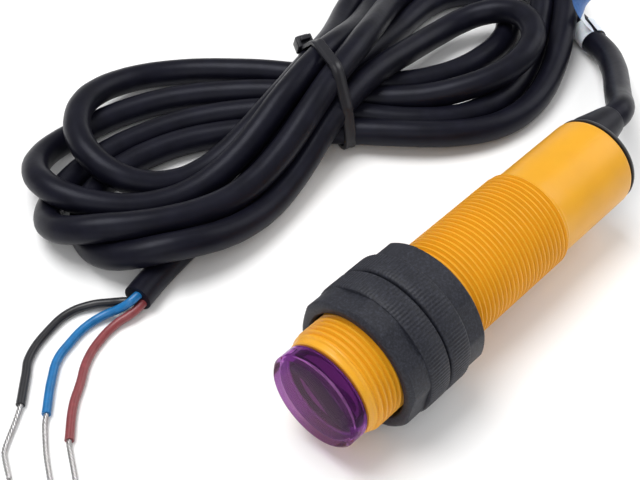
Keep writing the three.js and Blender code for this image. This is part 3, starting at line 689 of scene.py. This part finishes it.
def build_gland():
    """Stem through the rear cap and a cone over the start of the lead."""
    bm = bmesh.new()
    profile = [
        (0.0, CAP_FROM), (2.6, CAP_FROM), (2.6, 1.4), (4.2, 1.4), (4.15, 2.2), (3.95, 3.2),
        (3.55, 5.0), (3.15, 7.0), (2.75, 8.7), (2.45, 9.0), (2.2, 8.95), (0.0, 8.9),
    ]
    lathe(bm, softened(profile, 0.35), 72, CABLE_EXIT)
    return place(mesh_object("strain_relief", bm, 50.0), "cable_gland")


def build_rear_cap():
    """Thin rim disc with a plug in the bore and round holes for the three things through it."""
    bm = bmesh.new()
    rim = [(7.0, CAP_FROM), (7.0, 0.32), (8.18, 0.32), (8.2, 0.62), (8.05, 0.95), (CAP_R, CAP_TO)]
    lathe(bm, softened(rim, 0.1), FINE_SEGMENTS)
    outline = [(CAP_R * math.cos(a), CAP_R * math.sin(a)) for a in ring_angles(96)]
    plug = [(x * PLUG_SHARE, z * PLUG_SHARE) for x, z in outline]
    rims = [
        [(x + r * math.cos(a), z + r * math.sin(a)) for a in ring_angles(40)]
        for x, z, r in CAP_HOLES
    ]
    for y, loops in ((CAP_TO, [outline] + rims), (CAP_FROM, [plug] + rims)):
        edges = []
        for loop in loops:
            points = [(x * MM, (y + REAR_Y) * MM, (z + AXIS_Z) * MM) for x, z in loop]
            verts = [bm.verts.new(p) for p in points]
            edges += [bm.edges.new((a, b)) for a, b in zip(verts, verts[1:] + verts[:1])]
        bmesh.ops.triangle_fill(bm, use_beauty=True, edges=edges)
    for x, z, r in CAP_HOLES:
        lathe(bm, [(r, CAP_FROM), (r, CAP_TO)], 40, (x, z))
    return place(mesh_object("end_cap", bm, 30.0), "rear_cap")


def ring_angles(count):
    return [2 * math.pi * i / count for i in range(count)]


# ---- cable -----------------------------------------------------------------------------------
STRAND_STEP = 0.35  # mm between the points of a strand
STEPS_PER_SPAN = 12


def smooth_curve(name, routes, radius, sides=6, resolution=8):
    """Round bars along smooth lines through points given in mm."""
    data = bpy.data.curves.new(name, "CURVE")
    data.dimensions = "3D"
    data.resolution_u = resolution
    data.bevel_depth = radius * MM
    data.bevel_resolution = sides
    data.use_fill_caps = True
    for route in routes:
        spline = data.splines.new("BEZIER")
        spline.bezier_points.add(len(route) - 1)
        for point, place_mm in zip(spline.bezier_points, route):
            point.co = Vector(place_mm) * MM
            point.handle_left_type = "AUTO"
            point.handle_right_type = "AUTO"
    obj = bpy.data.objects.new(name, data)
    bpy.context.scene.collection.objects.link(obj)
    return obj


def twisted_tip(name, node, route, strands=5, core=0.26, strand=0.17, pitch=3.4):
    """Bare conductor: strands laid round each other along the route."""
    fine = resampled(route, STRAND_STEP)
    routes = []
    for k in range(strands):
        line = []
        for i, here in enumerate(fine):
            ahead = fine[min(i + 1, len(fine) - 1)]
            behind = fine[max(i - 1, 0)]
            along = (Vector(ahead) - Vector(behind)).normalized()
            side = along.cross(Vector((0, 0, 1))).normalized()
            up = side.cross(along)
            angle = 2 * math.pi * (i * STRAND_STEP / pitch + k / strands)
            offset = side * math.cos(angle) * core + up * math.sin(angle) * core
            line.append(tuple(Vector(here) + offset))
        routes.append(line)
    obj = smooth_curve(name, routes, strand, 2, 2)
    return place(obj, node)


def resampled(route, step):
    """Points a step apart along a smooth line through the route."""
    fine = []
    padded = [route[0], *route, route[-1]]
    for p0, p1, p2, p3 in zip(padded, padded[1:], padded[2:], padded[3:]):
        for i in range(STEPS_PER_SPAN):
            t = i / STEPS_PER_SPAN
            fine.append(tuple(
                0.5 * (2 * b + (c - a) * t + (2 * a - 5 * b + 4 * c - d) * t * t
                       + (3 * b - a - 3 * c + d) * t ** 3)
                for a, b, c, d in zip(p0, p1, p2, p3)
            ))
    fine.append(tuple(route[-1]))
    result = [fine[0]]
    left = step
    for first, second in zip(fine, fine[1:]):
        gap = (Vector(second) - Vector(first)).length
        while gap >= left and gap > 0:
            first = tuple(Vector(first).lerp(Vector(second), left / gap))
            result.append(first)
            gap -= left
            left = step
        left -= gap
    result.append(fine[-1])
    return result


def build_cable():
    route = LEAD + HANK
    cable = smooth_curve("cable", [route], CABLE_R, 9, 6)
    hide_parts("cable_lead", "cable_hank", "cable_tail")
    cable.data.materials.append(MATERIALS["cable_jacket"])
    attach(cable, "switch")
    return cable


# ---- cable tie -------------------------------------------------------------------------------
TIE_CENTRE = (-50.7, 17.2)  # x and y, mm
TIE_ACROSS = (0.92, -0.392)  # level direction in the plane of the tie
TIE_HEAD_ANGLE = 155.0  # degrees, seen along the bundle
TIE_HEAD_RISE = 1.45  # from the bundle's surface to the middle of the head, mm
HULL_SEGMENTS = 120
LOOP_POINTS = 260
FLOOR_CLEARANCE = 0.02  # mm
BOX_FACES = ((0, 1, 2, 3), (7, 6, 5, 4), (0, 4, 5, 1), (1, 5, 6, 2), (2, 6, 7, 3), (3, 7, 4, 0))


def tie_crossings():
    """Where the cable's centreline passes through the plane of the tie."""
    along = Vector((-TIE_ACROSS[1], TIE_ACROSS[0]))
    across = Vector(TIE_ACROSS)
    points = []
    line = resampled(HANK, 0.5)
    for first, second in zip(line, line[1:]):
        a = (Vector(first[:2]) - Vector(TIE_CENTRE)).dot(along)
        b = (Vector(second[:2]) - Vector(TIE_CENTRE)).dot(along)
        if a * b <= 0 and a != b:
            here = Vector(first).lerp(Vector(second), a / (a - b))
            points.append(((here.xy - Vector(TIE_CENTRE)).dot(across), here.z))
    return points


def hull_around(points, radius):
    """Taut loop round circles of a radius at the points, seen along the bundle."""
    ring = []
    for i in range(HULL_SEGMENTS):
        angle = 2 * math.pi * i / HULL_SEGMENTS
        best = max(points, key=lambda p: p[0] * math.cos(angle) + p[1] * math.sin(angle))
        ring.append((best[0] + radius * math.cos(angle), best[1] + radius * math.sin(angle)))
    loop = []
    for first, second in zip(ring, ring[1:] + ring[:1]):
        gap = math.dist(first, second)
        pieces = max(1, int(gap / 0.5))
        for i in range(pieces):
            t = i / pieces
            loop.append(tuple(a + (b - a) * t for a, b in zip(first, second)))
    return loop


def tie_point(across, height, along):
    """Point in metres from mm across and along the bundle."""
    x = TIE_CENTRE[0] + TIE_ACROSS[0] * across - TIE_ACROSS[1] * along
    y = TIE_CENTRE[1] + TIE_ACROSS[1] * across + TIE_ACROSS[0] * along
    return (x * MM, y * MM, height * MM)


def build_tie():
    """Ribbed strap drawn taut round the bundle, with its head."""
    bm = bmesh.new()
    points = tie_crossings()
    section = [  # mm along the bundle, and mm out from the strands' centres
        (-1.1, 2.6), (-1.1, 3.2), (-0.95, 3.35), (-0.5, 3.35), (-0.35, 3.25), (0.35, 3.25),
        (0.5, 3.35), (0.95, 3.35), (1.1, 3.2), (1.1, 2.6), (0.0, 2.55),
    ]
    rows = []
    for along, radius in section:
        loop = hull_around(points, radius)
        rows.append([(a, z, along) for a, z in loop])
    rows = [even_loop(row, LOOP_POINTS) for row in rows]
    rows = [[tie_point(a, max(FLOOR_CLEARANCE, z), w) for a, z, w in row] for row in rows]
    rows.append(rows[0])
    sheet_grid(bm, rows)
    tie = mesh_object("cable_tie_strap", bm, 40.0)
    join(tie, build_tie_head(points))
    return place(tie, "cable_tie")


def even_loop(row, count):
    """The closed loop again with evenly spaced points, starting at its far side."""
    start = min(range(len(row)), key=lambda i: row[i][0] + 0.001 * abs(row[i][1] - 5))
    row = row[start:] + row[:start]
    row = row + row[:1]
    lengths = [0.0]
    for first, second in zip(row, row[1:]):
        lengths.append(lengths[-1] + math.dist(first, second))
    result = []
    k = 0
    for i in range(count):
        target = lengths[-1] * i / count
        while lengths[k + 1] < target:
            k += 1
        t = (target - lengths[k]) / max(1e-9, lengths[k + 1] - lengths[k])
        result.append(tuple(a + (b - a) * t for a, b in zip(row[k], row[k + 1])))
    return result


def soft_box(bm, corners, bevel):
    """A box from its eight corners in metres, with bevelled edges."""
    verts = [bm.verts.new(c) for c in corners]
    for face in BOX_FACES:
        bm.faces.new([verts[i] for i in face])
    edges = list({edge for vert in verts for edge in vert.link_edges})
    bmesh.ops.bevel(bm, geom=edges, offset=bevel * MM, segments=3, affect="EDGES", profile=0.6)


def turned_block(centre, angle, outward, sideways, half_width):
    """Corners of a box turned in the plane of the tie. Its extents are from the centre, in mm."""
    cos, sin = math.cos(angle), math.sin(angle)
    (a0, a1), (z0, z1) = outward, sideways
    corners = []
    for w in (-half_width, half_width):
        for a, z in ((a0, z0), (a1, z0), (a1, z1), (a0, z1)):
            across = centre[0] + a * cos - z * sin
            height = centre[1] + a * sin + z * cos
            corners.append(tie_point(across, height, w))
    return corners


def build_tie_head(points):
    """Locking head on the far upper side, with the strap's cut end standing out of it."""
    angle = math.radians(TIE_HEAD_ANGLE)
    out = (math.cos(angle), math.sin(angle))
    best = max(points, key=lambda p: p[0] * out[0] + p[1] * out[1])
    reach = CABLE_R + TIE_HEAD_RISE
    centre = (best[0] + reach * out[0], best[1] + reach * out[1])

    def block(name, outward, sideways, half_width, bevel):
        bm = bmesh.new()
        soft_box(bm, turned_block(centre, angle, outward, sideways, half_width), bevel)
        return mesh_object(name, bm, 35.0)

    face = 1.15  # from the middle of the head to its outer face
    head = block("tie_head", (-1.25, face), (-1.5, 1.5), 1.65, 0.3)
    for half, proud in ((1.1, 0.2), (0.6, 0.35)):
        join(head, block("tie_mouth", (-0.5, face + proud), (-half, half), half, 0.1))
    join(head, block("tie_stub", (-0.35, 0.4), (-2.6, -1.1), 0.95, 0.12))
    return head


def join(target, extra):
    """Adds the extra object's faces to the target's mesh and removes the extra object."""
    bm = bmesh.new()
    bm.from_mesh(target.data)
    bm.from_mesh(extra.data)
    bm.to_mesh(target.data)
    bm.free()
    for polygon in target.data.polygons:
        polygon.use_smooth = True
    target.data.set_sharp_from_angle(angle=math.radians(35.0))
    bpy.data.objects.remove(extra)


# ---- label -----------------------------------------------------------------------------------
SLEEVE_SHELLS = (2.74, 2.58)  # outer and inner radius, mm
LEAF_FROM = 2.2  # mm above the sleeve's middle
LEAF_HEIGHT = 12.6  # mm
LEAF_STEPS = 24


def build_label():
    """A strip of coated paper round the lead, its two leaves stuck together and twisted."""
    centre = Vector((-26.6, 69.7, 3.0))
    lead_way = Vector((-0.888, 0.460, 0.0)).normalized()
    bm = bmesh.new()
    ring = []
    for w in (-2.1, -1.0, 0.0, 1.0, 2.1):
        row = []
        for shell in SLEEVE_SHELLS:
            line = []
            for i in range(33):
                angle = math.radians(100 + 340 * i / 32)
                up = Vector((0, 0, 1)) * shell * math.sin(angle)
                out = Vector((-lead_way.y, lead_way.x, 0)) * shell * math.cos(angle)
                line.append(tuple((centre + lead_way * w + out + up) * MM))
            row += line if shell == SLEEVE_SHELLS[0] else line[::-1]
        ring.append(row)
    sheet_grid(bm, ring)
    rows = []
    for k in range(LEAF_STEPS + 1):
        t = k / LEAF_STEPS
        height = LEAF_FROM + LEAF_HEIGHT * t
        twist = math.radians(152.6 - 92.0 * min(1.0, 1.9 * t) ** 1.3)
        wide = Vector((math.cos(twist), math.sin(twist), 0.0))
        thin = Vector((-wide.y, wide.x, 0.0))
        half = 2.15 + 0.15 * t
        lean = Vector((-2.4, -2.6, 0.0)) * t ** 0.5
        middle = centre + lean + Vector((0, 0, height)) + thin * 0.25 * math.sin(5.0 * t)
        face = [(-half, 0.09), (-half * 0.5, 0.13), (0.0, 0.15), (half * 0.5, 0.13), (half, 0.09)]
        outline = face + [(a, -b) for a, b in reversed(face)]
        rows.append([tuple((middle + wide * a + thin * b) * MM) for a, b in outline])
    sheet_grid(bm, rows)
    for row in (rows[0], rows[-1]):
        bm.faces.new([bm.verts.new(p) for p in row])
    return place(mesh_object("cable_flag", bm, 45.0), "cable_label")


# ---- stage -----------------------------------------------------------------------------------
FLOOR_HALF = 3.0  # m
FLOOR_DROP = 0.00005  # m
LIGHT_AIM = (-0.02, 0.0, 0.0)  # m
WORLD_STRENGTH = 0.42


def stage_material():
    g = Graph("stage", 0.9)
    g.color(g.ramp(g.noise(6.0), [(0.3, (0.93, 0.93, 0.93)), (0.7, (0.95, 0.95, 0.95))]))
    g.set(g.shader, Specular_IOR_Level=0.0)
    return g.material


def build_stage():
    bm = bmesh.new()
    bmesh.ops.create_grid(bm, x_segments=1, y_segments=1, size=FLOOR_HALF)
    floor = mesh_object("floor", bm)
    floor.location.z = -FLOOR_DROP
    floor.data.materials.append(stage_material())
    area_light("key", (-0.25, -0.10, 0.75), 0.55, 5.2)
    area_light("fill", (0.45, -0.55, 0.55), 0.8, 1.8)
    area_light("rim", (0.15, 0.65, 0.45), 0.6, 1.8)
    world = bpy.data.worlds.new("world")
    world.use_nodes = True
    background = world.node_tree.nodes["Background"]
    background.inputs["Color"].default_value = (1.0, 1.0, 1.0, 1.0)
    background.inputs["Strength"].default_value = WORLD_STRENGTH
    bpy.context.scene.world = world


def area_light(name, place_m, size, power):
    """Round lamp aimed at the part, with its size in metres and its power in watts."""
    data = bpy.data.lights.new(name, "AREA")
    data.shape = "DISK"
    data.size = size
    data.energy = power
    obj = bpy.data.objects.new(name, data)
    obj.location = place_m
    aim = Vector(LIGHT_AIM) - Vector(place_m)
    obj.rotation_euler = aim.to_track_quat("-Z", "Y").to_euler()
    bpy.context.scene.collection.objects.link(obj)


# ---- assembly --------------------------------------------------------------------------------
# CAD pieces that stay as they are and only get a material.
KEPT = (
    "optic_divider", "optic_holder", "emitter_led", "receiver_diode", "main_board",
    "controller_chip", "regulator_chip", "smoothing_capacitor", "output_transistor",
    "trimmer_body", "trimmer_screw", "indicator_led", "core_black", "core_blue", "core_brown",
)
# Pieces of the black slot that are paler or darker than its other pieces: the optic holder's pale
# pink is painted light, standing in for light that reaches inside the lens.
OWN_LOOK = {"optic_holder": "holder_painted_light", "optic_divider": "divider_plastic"}


def dress_kept_nodes():
    for node in KEPT:
        obj = frame["nodes"][node]
        obj.data.materials.clear()
        look = OWN_LOOK.get(node, SLOT_OF[node])
        obj.data.materials.append(MATERIALS[look])


cable = build_cable()
build_barrel()
build_lens()
build_gland()
build_rear_cap()
build_nut("front_nut", "nut_front", -1, 51.0, "front_nut")
build_nut("rear_nut", "nut_rear", 1, 30.0, "rear_nut")
on_cable = [
    place(smooth_curve("core_out_black", [BLACK_WIRE], WIRE_R), "wire_black"),
    place(smooth_curve("core_out_blue", [BLUE_WIRE], WIRE_R), "wire_blue"),
    place(smooth_curve("core_out_brown", [BROWN_WIRE], WIRE_R), "wire_brown"),
    twisted_tip("strands_black", "tip_black", BLACK_TIP),
    twisted_tip("strands_blue", "tip_blue", BLUE_TIP),
    twisted_tip("strands_brown", "tip_brown", BROWN_TIP),
    build_tie(),
    build_label(),
]
dress_kept_nodes()
build_stage()
bpy.context.scene.view_settings.view_transform = "Standard"
